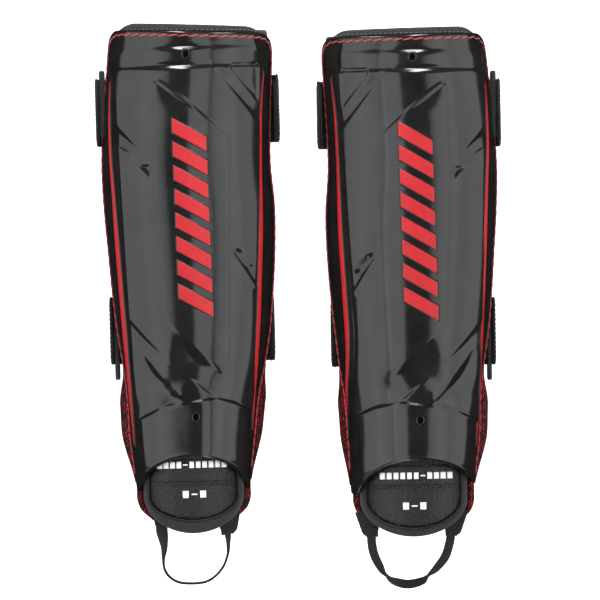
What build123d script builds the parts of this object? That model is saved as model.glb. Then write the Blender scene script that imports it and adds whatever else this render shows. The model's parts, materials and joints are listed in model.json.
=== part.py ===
from build123d import *

import os

# A pair of hockey shin guards, lying shells up on a table, knee ends towards +Y. Millimetres.
# Each guard is drawn in its own flat frame first: x across the shin, "along" measured from the
# knee edge towards the foot (so y = -along), z up from the table. x is positive on the medial
# side of the right leg. The left guard is the mirror image.

# Driving dimensions
GUARD_LENGTH = 329.5
PAIR_GAP = 141.7
AXIS_HEIGHT = 32.0
WING_FOOT = 9.0
RIGHT_TURN = 1.6
LEFT_TURN = 0.9
LEFT_LOWER = 2.2
TURN_POINT = 183.5

# Section of a guard: a half ellipse on two straight wings.
# Each row holds: distance along, half width, rise above the widest level, sideways shift.
STATIONS = [
    (-12.0, 53.2, 45.0, 3.0),
    (14.0, 54.0, 46.0, 2.5),
    (56.0, 54.9, 47.0, -0.6),
    (91.0, 55.5, 47.0, -2.1),
    (119.0, 56.1, 47.0, -0.7),
    (146.0, 54.9, 46.5, 0.0),
    (179.0, 52.4, 45.0, 0.0),
    (200.0, 50.0, 43.8, 0.0),
    (218.0, 47.1, 42.4, -0.3),
    (240.0, 43.4, 40.6, -1.6),
    (263.0, 41.4, 39.2, -2.8),
    (302.0, 37.0, 36.4, -3.1),
    (345.0, 33.0, 33.6, -3.1),
]
SIDE_REACH = 75.0
TOP_REACH = 90.0

# What differs from guard to guard. The left one is a little more spread at the ankle, and its
# moulded features stand off its centre line: lean is an offset and a slope along the guard.
SIDES = {
    "right": {
        "lean": (0.0, 0.0),
        "spread": 0.0,
        "flap_shift": -3.0,
        "flap_half": 34.0,
        "pad_half": 28.9,
        "tab_x": (-24.4, 18.0),
    },
    "left": {
        "lean": (2.56, 0.00723),
        "spread": 3.4,
        "flap_shift": -1.5,
        "flap_half": 35.5,
        "pad_half": 30.2,
        "tab_x": (-23.5, 27.5),
    },
}
SPREAD_FROM = 200.0
SPREAD_FULL = 302.0

# Shell
SHELL_THICK = 2.2
SHELL_TOP = 4.5
SHELL_SIDE_LEVEL = 34.0
SHELL_EAR_END = 301.5
SHELL_CORNER = 12.0
SHELL_HALF_TOP = 55.5
ANKLE_ARCH_CENTRE = (-3.0, 305.0)
ANKLE_ARCH_RADII = (37.0, 25.0)  # the first grows with the guard's spread
VENT_RADIUS = 1.5
VENT_ALONG = (19.0, 254.0)
PANEL_RISE = 1.0
POCKET_DEPTH = 0.9
PANEL_OUTLINE = [
    (-20.5, 36.5),
    (-2.0, 47.5),
    (25.5, 74.0),
    (24.3, 144.0),
    (21.6, 216.5),
    (15.9, 223.5),
    (-9.2, 201.8),
    (-18.0, 189.0),
    (-22.0, 82.0),
]
POCKET_OUTLINE = [(30.0, 24.7), (47.0, 24.7), (45.4, 51.8), (29.5, 29.4)]

# Liner
FOAM_OUT = 3.5
FOAM_IN = 9.2
FOAM_CREST_GAP = 2.5
LINING_IN = 10.3
LAYER_GAP = 0.1
BINDING_OUT = 1.8
BINDING_IN = 10.4
BINDING_WIDTH = 4.0
LINER_END = 274.0
GUSSET_ALONG = (226.0, 274.0)
GUSSET_LEVELS = (13.0, 33.0)
GUSSET_BULGE = 7.0

# Straps: woven elastic rings, flat where they pass under the calf
STRAP_THICK = 1.8
STRAP_CORNER = 13.0
HOOK_THICK = 0.5
UPPER_STRAP = {
    "along": (33.0, 77.0),
    "lateral": 59.8,
    "medial": 59.3,
    "medial_top": 48.0,
    "lateral_top": 46.0,
    "patch_along": (28.0, 72.0),
    "patch_levels": (20.0, 43.0),
    "patch_thick": 1.3,
    "anchor_levels": (22.0, 47.0),
}
LOWER_STRAP = {
    "along": (175.0, 219.0),
    "lateral": 54.6,
    "medial": 52.4,
    "medial_top": 32.5,
    "lateral_top": 33.0,
    "patch_along": (181.0, 229.0),
    "patch_levels": (15.0, 31.5),
    "patch_thick": 3.4,
    "anchor_levels": (14.0, 31.5),
}
STRAP_SPLIT = 14.0
SPLIT_GAP = 0.4
HOOK_INSET = 2.0

# Ankle flap: its own section, thinner than the shell's so that it moves under the arch
FLAP_RISE = 31.4
FLAP_START = 278.0
FLAP_BORDER_THICK = 5.0
FLAP_PAD_THICK = 6.6
FLAP_PAD_PROUD = 0.8
FLAP_LINING_THICK = 1.3
FLAP_PAD_END = 320.8
FLAP_ROUND_FROM = 305.0

# Stirrup: an elastic loop that goes under the skate boot
TAB_WIDTH = 8.5
TAB_THICK = 2.6
TAB_ALONG = (319.2, 329.4)
STIRRUP_AXIS_ALONG = 331.0
STIRRUP_AXIS_LEVEL = 33.5
STIRRUP_WIDTH = 8.0
STIRRUP_THICK = 1.6
STIRRUP_END = 361.6
STIRRUP_NECK = 1.6
STIRRUP_NECK_LENGTH = 4.5
STIRRUP_START = 2.2


def section(along, half, rise, shift, inset, crest_inset, foot):
    """One closed half-ellipse section of a guard, drawn in by inset at the sides."""
    plane = Plane(origin=(shift, -along, AXIS_HEIGHT), x_dir=(1, 0, 0), z_dir=(0, -1, 0))
    a = half - inset
    b = rise - crest_inset
    arch = EllipticalCenterArc((0, 0), a, b, 0, arc_size=180)
    wings = Polyline((-a, 0), (-a, foot - AXIS_HEIGHT), (a, foot - AXIS_HEIGHT), (a, 0))
    return make_face(plane * (arch + wings))


def upright(outline, low=0.0, high=TOP_REACH):
    """A prism over an outline given as (x, along) points."""
    points = [(x, -along) for x, along in outline]
    face = make_face(Polyline(*points, close=True))
    return Pos(0, 0, low) * extrude(face, high - low, dir=(0, 0, 1))


def slab(x, along, levels):
    """A box from ranges of x, distance along and height."""
    centre = ((x[0] + x[1]) / 2, -(along[0] + along[1]) / 2, (levels[0] + levels[1]) / 2)
    size = (abs(x[1] - x[0]), abs(along[1] - along[0]), abs(levels[1] - levels[0]))
    return Pos(*centre) * Box(*size)


def band(along, levels=(0.0, TOP_REACH)):
    return slab((-SIDE_REACH, SIDE_REACH), along, levels)


def oval_prism(centre, radii):
    face = Pos(centre[0], -centre[1]) * Ellipse(*radii)
    return extrude(face, TOP_REACH, dir=(0, 0, 1))


def only_solid(shape):
    """The largest solid of a shape, without its container."""
    solids = shape.solids()
    return max(solids, key=lambda solid: solid.volume)


def leaning(outline, lean):
    """An outline of (x, along) points moved sideways by a lean: an offset and a slope."""
    return [(x - lean[0] - lean[1] * along, along) for x, along in outline]


def ring_outline(strap, grow):
    """Plan of a strap ring seen along the shin: U shape from the medial to the lateral top."""
    left = -(strap["lateral"] - grow)
    right = strap["medial"] - grow
    corner = STRAP_CORNER - grow
    high = TOP_REACH
    side_lines = Polyline((left, corner + grow), (left, high), (right, high), (right, corner + grow))
    floor = Line((left + corner, grow), (right - corner, grow))
    left_bend = RadiusArc((left, corner + grow), (left + corner, grow), -corner)
    right_bend = RadiusArc((right - corner, grow), (right, corner + grow), -corner)
    return make_face(Plane.XZ * (side_lines + floor + left_bend + right_bend))


class Guard:
    """One guard in its flat frame, with the dimensions of its side."""

    def __init__(self, side):
        self.side = side
        for name, value in SIDES[side].items():
            setattr(self, name, value)
        self.stations = [self.spread_row(row) for row in STATIONS]

    def spread_row(self, row):
        along, half, rise, shift = row
        share = (along - SPREAD_FROM) / (SPREAD_FULL - SPREAD_FROM)
        return along, half + self.spread * min(max(share, 0.0), 1.0), rise, shift

    def hull(self, inset, crest_inset=None, foot=WING_FOOT):
        """The solid under one surface of the guard, over its whole length."""
        crest = inset if crest_inset is None else crest_inset
        return loft([section(*row, inset, crest, foot) for row in self.stations])

    def flap_hull(self, inset, foot=WING_FOOT):
        """The solid under one surface of the ankle flap."""
        ends = (FLAP_START - 20.0, GUARD_LENGTH + 10.0)
        rows = [(along, self.flap_half, FLAP_RISE, self.flap_shift) for along in ends]
        return loft([section(*row, inset, inset, foot) for row in rows])

    def make_shell(self):
        skin = self.hull(0.0, foot=0.0) - self.hull(SHELL_THICK, foot=-20.0)
        half = SHELL_HALF_TOP
        top = SHELL_TOP
        body = upright(
            [
                (-SIDE_REACH, top + 2 * SHELL_CORNER),
                (-half, top + SHELL_CORNER),
                (-half + SHELL_CORNER, top),
                (half - SHELL_CORNER + 3.0, top),
                (half + 3.0, top + SHELL_CORNER),
                (SIDE_REACH, top + 2 * SHELL_CORNER),
                (SIDE_REACH, SHELL_EAR_END),
                (-SIDE_REACH, SHELL_EAR_END),
            ],
            low=SHELL_SIDE_LEVEL,
        )
        arch_radii = (ANKLE_ARCH_RADII[0] + self.spread, ANKLE_ARCH_RADII[1])
        shell = (skin & body) - oval_prism(ANKLE_ARCH_CENTRE, arch_radii)
        raised = (self.hull(-PANEL_RISE, foot=0.0) - self.hull(SHELL_THICK / 2, foot=-20.0)) & upright(
            leaning(PANEL_OUTLINE, self.lean), low=AXIS_HEIGHT + 10.0
        )
        sunk = (self.hull(-1.0, foot=0.0) - self.hull(POCKET_DEPTH, foot=-20.0)) & upright(
            leaning(POCKET_OUTLINE, self.lean), low=AXIS_HEIGHT + 5.0
        )
        shell = shell + raised - sunk
        for x, along in leaning([(0.0, along) for along in VENT_ALONG], self.lean):
            shell -= Pos(x, -along, AXIS_HEIGHT + TOP_REACH / 2) * Cylinder(VENT_RADIUS, TOP_REACH)
        return shell

    def make_liner(self):
        foam = self.hull(FOAM_OUT, FOAM_CREST_GAP) - self.hull(FOAM_IN, foot=-20.0)
        lining = self.hull(FOAM_IN + LAYER_GAP) - self.hull(LINING_IN, foot=-20.0)
        edge = self.hull(BINDING_OUT) - self.hull(BINDING_IN, foot=-20.0)
        inside = band((BINDING_WIDTH + LAYER_GAP, LINER_END))
        return foam & inside, lining & inside, edge & band((0.0, BINDING_WIDTH))

    def make_gusset(self, side):
        """The padded mesh that stands out below the shell near the ankle, on one side (-1 or 1)."""
        inner = FOAM_OUT - LAYER_GAP
        tube = self.hull(inner - GUSSET_BULGE, foot=0.0) - self.hull(inner, foot=-20.0)
        start, end = GUSSET_ALONG
        if side < 0:
            start = LOWER_STRAP["patch_along"][1] + 1.0
        low, high = GUSSET_LEVELS
        return tube & slab((0.0, side * SIDE_REACH), (start, end), (low, high))

    def make_strap(self, strap, solid_guard):
        """A strap's pieces: back run, anchor, loop patch, free end and hook tab."""
        start, end = strap["along"]
        outer = extrude(ring_outline(strap, 0.0), end - start, dir=(0, -1, 0))
        inner = extrude(ring_outline(strap, STRAP_THICK), end - start, dir=(0, -1, 0))
        ring = Pos(0, -start, 0) * (outer - inner)
        lateral = -strap["lateral"]
        half_gap = SPLIT_GAP / 2
        keep_medial = slab((0.0, SIDE_REACH), (start, end), (0.0, strap["medial_top"]))
        keep_back = slab((-SIDE_REACH, 0.0), (start, end), (0.0, STRAP_SPLIT - half_gap))
        back_run = ring & (keep_medial + keep_back)
        free = slab((-SIDE_REACH, 0.0), (start, end), (STRAP_SPLIT + half_gap, strap["lateral_top"]))
        strap_end = ring & free

        hook_outer = lateral + STRAP_THICK
        hook_levels = (strap["patch_levels"][0] + HOOK_INSET, strap["lateral_top"] - HOOK_INSET)
        hook_tab = slab(
            (hook_outer, hook_outer + HOOK_THICK), (start + HOOK_INSET, end - HOOK_INSET), hook_levels
        )

        patch_outer = hook_outer + HOOK_THICK + 0.35
        patch = slab(
            (patch_outer, patch_outer + strap["patch_thick"] + 1.5), strap["patch_along"], strap["patch_levels"]
        )
        patch = patch - solid_guard
        anchor_outer = strap["medial"] - STRAP_THICK
        anchor = slab((anchor_outer - 4.0, anchor_outer), (start, end), strap["anchor_levels"])
        anchor = anchor - solid_guard
        return {
            "strap": back_run,
            "strap_anchor": anchor,
            "loop_patch": patch,
            "strap_end": strap_end,
            "hook_tab": hook_tab,
        }

    def flap_outline(self, half, end, shift):
        """A flap panel's plan: straight sides and a half-oval end, as a prism."""
        tall = slab((shift - half, shift + half), (FLAP_START, FLAP_ROUND_FROM), (0.0, TOP_REACH))
        return tall + oval_prism((shift, FLAP_ROUND_FROM), (half, end - FLAP_ROUND_FROM))

    def make_flap(self):
        border_plan = self.flap_outline(self.flap_half + 1.0, GUARD_LENGTH, self.flap_shift)
        pad_plan = self.flap_outline(self.pad_half, FLAP_PAD_END, self.flap_shift)
        pad_hole = self.flap_outline(self.pad_half + LAYER_GAP, FLAP_PAD_END + LAYER_GAP, self.flap_shift)
        border = self.flap_hull(0.0) - self.flap_hull(FLAP_BORDER_THICK, foot=-20.0)
        border = border & (border_plan - pad_hole)
        pad = (self.flap_hull(-FLAP_PAD_PROUD) - self.flap_hull(FLAP_PAD_THICK, foot=-20.0)) & pad_plan
        lining_out = FLAP_PAD_THICK + LAYER_GAP
        lining = self.flap_hull(lining_out) - self.flap_hull(lining_out + FLAP_LINING_THICK, foot=-20.0)
        level = band((FLAP_START, GUARD_LENGTH), (AXIS_HEIGHT - 4.0, TOP_REACH))
        lining_plan = self.flap_outline(self.flap_half, GUARD_LENGTH - 3.0, self.flap_shift)
        return pad & level, border & level, lining & lining_plan & level

    def make_tab(self, x):
        """A folded webbing tab, sewn behind the flap, with an eye for the stirrup."""
        start, end = TAB_ALONG
        half = TAB_THICK / 2
        level = STIRRUP_AXIS_LEVEL
        span = (x - TAB_WIDTH / 2, x + TAB_WIDTH / 2)
        strip = slab(span, (start, end), (level - half, level + half))
        eye = Pos(x, -STIRRUP_AXIS_ALONG + 0.4, level) * Rot(0, 90, 0) * Cylinder(half, TAB_WIDTH)
        joined = slab(span, (end - 0.5, STIRRUP_AXIS_ALONG - 0.4), (level - half, level + half))
        return strip + joined + eye

    def make_stirrup(self):
        """The loop as a flat elastic ribbon on edge, in a plane that slopes to the table."""
        drop = STIRRUP_AXIS_LEVEL - STIRRUP_WIDTH / 2
        reach = STIRRUP_END - STIRRUP_AXIS_ALONG
        slope = Vector(0, -reach, -drop)
        length = slope.length
        down = slope.normalized()
        across = Vector(1, 0, 0)
        plane = Plane(
            origin=(sum(self.tab_x) / 2, -STIRRUP_AXIS_ALONG, STIRRUP_AXIS_LEVEL),
            x_dir=across,
            z_dir=across.cross(down),
        )
        half = (self.tab_x[1] - self.tab_x[0]) / 2
        loop = Ellipse(half, length) - Ellipse(half - STIRRUP_THICK, length - STIRRUP_THICK)
        start = STIRRUP_START + STIRRUP_NECK_LENGTH
        ribbon = extrude(plane * loop, STIRRUP_WIDTH / 2, both=True)
        neck = extrude(plane * loop, STIRRUP_NECK, both=True)
        reach_box = 2 * length
        cut_ribbon = plane * (Pos(0, start + reach_box / 2) * Box(reach_box, reach_box, reach_box))
        cut_neck = plane * (Pos(0, STIRRUP_START + reach_box / 2) * Box(reach_box, reach_box, reach_box))
        return (ribbon & cut_ribbon) + (neck & cut_neck)

    def make_guard(self):
        """All pieces of one guard in the flat frame, by name."""
        above = band((-20.0, GUARD_LENGTH), (SHELL_SIDE_LEVEL - 0.3, TOP_REACH))
        solid_guard = (self.hull(-0.2, foot=0.0) & above) + self.hull(FOAM_OUT - LAYER_GAP)
        foam, lining, edge = self.make_liner()
        pad, border, flap_lining = self.make_flap()
        pieces = {
            "shell": self.make_shell(),
            "foam_pad": foam,
            "lining": lining,
            "top_binding": edge,
            "side_mesh_lateral": self.make_gusset(-1),
            "side_mesh_medial": self.make_gusset(1),
            "ankle_pad": pad,
            "ankle_binding": border,
            "ankle_lining": flap_lining,
            "stirrup_tab_lateral": self.make_tab(self.tab_x[0]),
            "stirrup_tab_medial": self.make_tab(self.tab_x[1]),
            "stirrup": self.make_stirrup(),
        }
        for name, strap in (("upper", UPPER_STRAP), ("lower", LOWER_STRAP)):
            for piece, solid in self.make_strap(strap, solid_guard).items():
                pieces[f"{name}_{piece}"] = solid
        return {name: only_solid(shape) for name, shape in pieces.items()}


def placement(side):
    """Where a guard's flat frame lies on the table."""
    if side == "right":
        return Pos(-PAIR_GAP / 2, 0, 0) * Rot(0, 0, RIGHT_TURN) * Pos(0, TURN_POINT, 0)
    return Pos(PAIR_GAP / 2, -LEFT_LOWER, 0) * Rot(0, 0, LEFT_TURN) * Pos(0, TURN_POINT, 0)


def build():
    nodes = {}
    for side in SIDES:
        for name, solid in Guard(side).make_guard().items():
            if side == "left":
                solid = solid.mirror(Plane.YZ)
            nodes[f"{side}_{name}"] = placement(side) * solid
    boxes = [solid.bounding_box() for solid in nodes.values()]
    low = [min(tuple(box.min)[axis] for box in boxes) for axis in range(3)]
    high = [max(tuple(box.max)[axis] for box in boxes) for axis in range(3)]
    shift = Pos(-(low[0] + high[0]) / 2, -(low[1] + high[1]) / 2, -low[2])
    return {name: shift * solid for name, solid in nodes.items()}, shift


if __name__ == "__main__":
    os.makedirs("parts", exist_ok=True)
    built, centring = build()
    for node, solid in built.items():
        solid.label = node
        export_step(solid, f"parts/{node}.step")
    print("centring shift", centring.position)
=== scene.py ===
import json
import math

import bpy
import numpy as np
from mathutils import Matrix, Vector


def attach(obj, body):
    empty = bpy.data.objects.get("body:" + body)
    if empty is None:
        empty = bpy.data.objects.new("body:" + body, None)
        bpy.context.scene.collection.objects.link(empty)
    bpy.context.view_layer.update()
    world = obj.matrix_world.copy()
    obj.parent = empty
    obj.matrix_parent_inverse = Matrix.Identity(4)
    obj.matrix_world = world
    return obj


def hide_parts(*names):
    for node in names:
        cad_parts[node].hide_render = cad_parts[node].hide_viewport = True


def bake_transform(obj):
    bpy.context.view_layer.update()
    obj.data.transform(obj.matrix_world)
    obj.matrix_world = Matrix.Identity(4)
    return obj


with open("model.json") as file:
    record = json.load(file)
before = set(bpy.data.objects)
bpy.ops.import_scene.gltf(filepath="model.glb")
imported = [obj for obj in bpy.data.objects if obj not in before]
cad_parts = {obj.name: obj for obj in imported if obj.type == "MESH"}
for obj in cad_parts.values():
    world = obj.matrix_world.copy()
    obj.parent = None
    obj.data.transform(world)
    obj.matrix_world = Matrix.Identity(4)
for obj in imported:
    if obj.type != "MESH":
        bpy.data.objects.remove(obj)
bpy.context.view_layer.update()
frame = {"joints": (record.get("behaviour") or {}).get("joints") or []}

# Everything is drawn in one guard's flat frame, in millimetres: x across the shin (positive on
# the medial side), s along it from the knee edge, z up from the table. Guard.world() turns those
# into metres in the row frame; the left guard is mirrored there.
MM = 0.001
AXIS_HEIGHT = 32.0
WING_FOOT = 9.0

# Section of a guard: distance along, half width, rise above the widest level, sideways shift
STATIONS = np.array([
    (-12.0, 53.2, 45.0, 3.0), (14.0, 54.0, 46.0, 2.5), (56.0, 54.9, 47.0, -0.6),
    (91.0, 55.5, 47.0, -2.1), (119.0, 56.1, 47.0, -0.7), (146.0, 54.9, 46.5, 0.0),
    (179.0, 52.4, 45.0, 0.0), (200.0, 50.0, 43.8, 0.0), (218.0, 47.1, 42.4, -0.3),
    (240.0, 43.4, 40.6, -1.6), (263.0, 41.4, 39.2, -2.8), (302.0, 37.0, 36.4, -3.1),
    (345.0, 33.0, 33.6, -3.1),
])
SPREAD_FROM, SPREAD_OVER = 200.0, 102.0
KNEE_HALF = 54.0

# Shell
SHELL_THICK = 2.2
SHELL_TOP = 4.5
SHELL_BOTTOM = 290.0
SHELL_LAST_ANGLE = 84.0
SHELL_ROUND_ANGLE = 60.0
SHELL_EAR_END = 301.5
ARCH_CENTRE = (-3.0, 305.0)
ARCH_RADII = (37.0, 25.0)
VENTS = (19.0, 254.0)

# Flap
FLAP_RISE = 31.4
FLAP_FROM = 273.0
FLAP_ROUND = 305.0
FLAP_SEAMS = (297.2, 282.6)
BORDER_END = 329.5

# Straps
STRAP_THICK = 1.8
STRAP_CORNER = 13.0
HINGE_LEVEL = 14.0
STRAPS = {
    "upper": dict(along=(33.0, 77.0), lateral=59.8, medial=59.3, medial_top=47.5, lateral_top=45.5,
                  patch=(28.0, 72.0), patch_levels=(19.0, 43.0), patch_thick=3.6,
                  anchor_levels=(22.0, 46.5), anchor_thick=1.4),
    "lower": dict(along=(175.0, 219.0), lateral=54.6, medial=52.4, medial_top=32.2, lateral_top=32.8,
                  patch=(181.0, 229.0), patch_levels=(14.5, 31.5), patch_thick=3.2,
                  anchor_levels=(14.0, 31.3), anchor_thick=1.2),
}

# What differs from guard to guard
VARIANT = {
    "right": dict(skew=0.048, spread=0.0, foot_shift=0.0, foot_wider=0.0, foot_tilt=0.18,
                  lean=(0.0, 0.0), flap_shift=-3.0, flap_half=34.0, pad_half=29.2, pad_end=321.4,
                  tabs=(-24.4, 18.0), tab_ends=((327.0, -0.15, 0.0, 8.0), (330.4, 0.2, -0.3, 12.0)),
                  stirrup_width=7.6, marks=(285.0, 304.2, 0.6, 4.1)),
    "left": dict(skew=0.018, spread=3.2, foot_shift=4.2, foot_wider=6.5, foot_tilt=0.0,
                 lean=(2.56, 0.00723), flap_shift=0.4, flap_half=36.4, pad_half=31.2, pad_end=324.4,
                 tabs=(-23.5, 27.5), tab_ends=((329.0, -0.35, 0.1, 11.5), (329.0, 0.35, -0.1, 11.5)),
                 stirrup_width=5.8, marks=(290.0, 309.6, -0.3, 4.3)),
}


# ---------------------------------------- small helpers

def smooth(t):
    t = np.clip(t, 0.0, 1.0)
    return t * t * (3.0 - 2.0 * t)


def curve_through(xs, ys, x):
    """A smooth curve through points, with the slope of the neighbours at each."""
    xs = np.asarray(xs, float)
    ys = np.asarray(ys, float)
    slope = np.gradient(ys, xs)
    x = np.clip(np.asarray(x, float), xs[0], xs[-1])
    i = np.clip(np.searchsorted(xs, x) - 1, 0, len(xs) - 2)
    span = xs[i + 1] - xs[i]
    t = (x - xs[i]) / span
    rise = (2 * t**3 - 3 * t**2 + 1) * ys[i] + (3 * t**2 - 2 * t**3) * ys[i + 1]
    return rise + span * ((t**3 - 2 * t**2 + t) * slope[i] + (t**3 - t**2) * slope[i + 1])


def edge_distance(x, s, points, closed=False):
    """Distance of each point from a polyline in the plan."""
    pts = [np.array(p, float) for p in points]
    pairs = list(zip(pts[:-1], pts[1:]))
    if closed:
        pairs.append((pts[-1], pts[0]))
    best = np.full(np.shape(x), np.inf)
    for a, b in pairs:
        d = b - a
        t = np.clip(((x - a[0]) * d[0] + (s - a[1]) * d[1]) / (d @ d), 0, 1)
        best = np.minimum(best, np.hypot(x - a[0] - t * d[0], s - a[1] - t * d[1]))
    return best


def inside(x, s, polygon):
    """Whether each point lies in a polygon."""
    result = np.zeros(np.shape(x), bool)
    for (x0, s0), (x1, s1) in zip(polygon, polygon[1:] + polygon[:1]):
        if s0 == s1:
            continue
        crosses = (s0 > s) != (s1 > s)
        result ^= crosses & (x < (x1 - x0) * (s - s0) / (s1 - s0) + x0)
    return result


def plateau(x, s, polygon, edge):
    """1 inside a polygon, 0 outside, with a soft edge."""
    away = edge_distance(x, s, polygon, closed=True)
    signed = np.where(inside(x, s, polygon), away, -away)
    return smooth((signed + edge / 2) / edge)


def groove(x, s, points, width):
    """1 on a line, falling off to its sides."""
    return np.exp(-(edge_distance(x, s, points) / width) ** 2)


def stack(*coordinates):
    return np.stack(np.broadcast_arrays(*coordinates), axis=-1).astype(float)


def unit(v):
    return v / np.maximum(np.linalg.norm(v, axis=-1, keepdims=True), 1e-9)


def turns(sides):
    """Angles evenly round a circle."""
    return np.linspace(0, 2 * np.pi, sides, endpoint=False)


def run_length(points):
    """The length of a path up to each of its points."""
    return np.concatenate([[0], np.cumsum(np.linalg.norm(np.diff(points, axis=0), axis=1))])


def at_length(values, length, distance):
    """The value at a distance along a path, from its values and lengths at the points."""
    return np.array([np.interp(distance, length, values[:, k]) for k in range(3)])


# ---------------------------------------- the moulded face of the shell

SIDE_LINES = {
    -1: [(-45.7, 29.0), (-45.4, 60.0), (-43.6, 115.0), (-41.2, 184.0), (-38.4, 238.0), (-36.8, 256.0)],
    1: [(46.8, 29.0), (45.6, 60.0), (43.6, 115.0), (40.4, 184.0), (37.4, 238.0), (35.0, 252.0)],
}
BOTTOM_LINE = [(-23.5, 248.6), (-9.7, 245.6), (12.4, 242.4), (23.8, 245.6)]
OUTLINE = SIDE_LINES[-1] + BOTTOM_LINE + SIDE_LINES[1][::-1]
FACE = [(-45.9, 20.0), (47.0, 20.0)] + OUTLINE[::-1]
KNEE = [(-44.0, 4.0), (44.0, 4.0), (46.5, 16.0), (46.4, 34.0), (-45.4, 34.0)]
ANKLE = [(-38.0, 240.0), (38.0, 240.0), (33.6, 256.0), (31.8, 300.0), (31.0, 330.0),
         (-33.6, 330.0), (-34.2, 300.0), (-36.0, 258.0)]
PANEL = [(-20.6, 37.0), (-17.0, 36.0), (-2.0, 47.5), (25.6, 74.0), (24.5, 124.0), (23.8, 144.0),
         (21.6, 216.5), (19.4, 223.0), (15.9, 223.5), (-9.2, 201.8), (-18.0, 189.0),
         (-21.0, 124.0), (-22.0, 82.0)]
POCKET = [(28.8, 26.0), (44.6, 26.0), (44.4, 50.5), (28.4, 30.0)]

# Slashes of the face, each as valley() takes it: start, end, side, depth, wall and so on
SLASHES = [
    # the long line beside the medial knee pocket
    ((10.0, 19.0), (54.0, 79.0), -1, 1.7, 2.8, 12.0, 0.6, 0.3),
    # the dark wedge at the top of the centre panel
    ((-25.0, 31.0), (8.0, 57.5), 1, 1.15, 1.5, 12.0, 0.5, 0.5, True),
    # lateral middle
    ((-62.0, 41.5), (-26.0, 86.0), 1, 1.9, 3.4, 14.0),
    ((-52.0, 72.0), (-27.0, 93.0), -1, 0.45, 2.6, 10.0),
    ((-33.5, 89.6), (-24.0, 100.0), -1, 1.3, 2.8, 4.5),
    # medial middle
    ((21.6, 141.0), (47.0, 183.0), -1, 1.7, 2.6, 12.0),
    # the long diagonal bar at the lateral foot, with the recess below it
    ((-48.0, 180.0), (-12.0, 221.5), 1, 1.7, 3.2, 14.0),
    ((-36.0, 206.0), (-2.0, 246.5), 1, 2.9, 7.4, 17.0, 0.45, 0.25),
    ((-9.0, 224.0), (21.0, 252.0), -1, 1.1, 2.8, 22.0, 0.6, 0.4),
    # the deep slash that ends the centre panel
    ((-13.0, 196.0), (19.0, 227.4), 1, 2.0, 6.4, 30.0, 0.6, 0.5),
]


def valley(x, s, start, end, side, depth, wall, run, ease_in=0.5, ease_out=0.5, sharp=False):
    """A slash: a steep wall down along the line from start to end, and a gentle way back up.

    It lies on one side of the line: 1 is the right hand of someone who walks from start to end
    down the page, -1 the left hand. A sharp slash has no flat floor.
    """
    d = np.array(end, float) - np.array(start, float)
    size = np.hypot(*d)
    along = ((x - start[0]) * d[0] + (s - start[1]) * d[1]) / size**2
    away = side * ((s - start[1]) * d[0] - (x - start[0]) * d[1]) / size
    strength = smooth(along / ease_in) * smooth((1 - along) / ease_out)
    wall = wall * (0.2 + 0.8 * strength)
    run = run * (0.2 + 0.8 * strength)
    back = np.clip((away - wall) / run, 0, 1)
    profile = smooth(away / wall) * ((1 - back) ** 2 if sharp else 1 - smooth(back))
    return -depth * strength * profile


def face_height(x, s):
    """How far the moulding stands out of the plain shell, in mm."""
    reach = np.clip(np.abs(x + 1.0) / 46.0, 0, 1.1)
    face = (1.5 + 1.5 * reach ** 3) * plateau(x, s, FACE, 2.6) * smooth((s - 22.5) / 7.0)
    foot = (0.25 + 1.2 * reach ** 2) * plateau(x, s, ANKLE, 2.6)
    knee = (0.8 + 1.2 * reach ** 3) * plateau(x, s, KNEE, 3.4) * smooth((s - 7.0) / 13.0)
    h = np.maximum(np.maximum(face, foot), knee)

    # two creases across the knee end, deepest at the crest
    for start, end, level, crest, spread, depth, width in (
            (-42.0, 42.0, 13.9, -1.0, 10.0, 1.1, 1.7), (-44.0, 14.0, 26.2, -6.0, 16.0, 1.2, 1.8)):
        deep = 0.1 + depth * np.exp(-((x - crest) / spread) ** 2)
        h -= deep * groove(x, s, [(start, level), (end, level)], width)

    # pocket at the medial knee corner, centre panel, crease at the medial foot and its two pits
    h -= 1.0 * plateau(x, s, POCKET, 2.0)
    h += 0.55 * plateau(x, s, PANEL, 1.6) * smooth((226.0 - s) / 22.0)
    h -= 0.5 * groove(x, s, [(39.7, 174.0), (39.5, 189.0), (37.6, 236.0)], 1.6)
    for pit in ((29.4, 148.4), (37.4, 158.8)):
        h -= 0.6 * np.exp(-(np.hypot(x - pit[0], s - pit[1]) / 2.0) ** 2)

    # small knob in the recess at the foot
    h += 0.5 * np.exp(-(np.hypot(x + 8.6, (s - 240.2) * 0.6) / 2.6) ** 2)
    cut = sum(valley(x, s, *slash) for slash in SLASHES)
    return h + cut * plateau(x, s, OUTLINE, 3.0) * smooth((s - 25.0) / 5.0)


# ---------------------------------------- one guard's geometry

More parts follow.
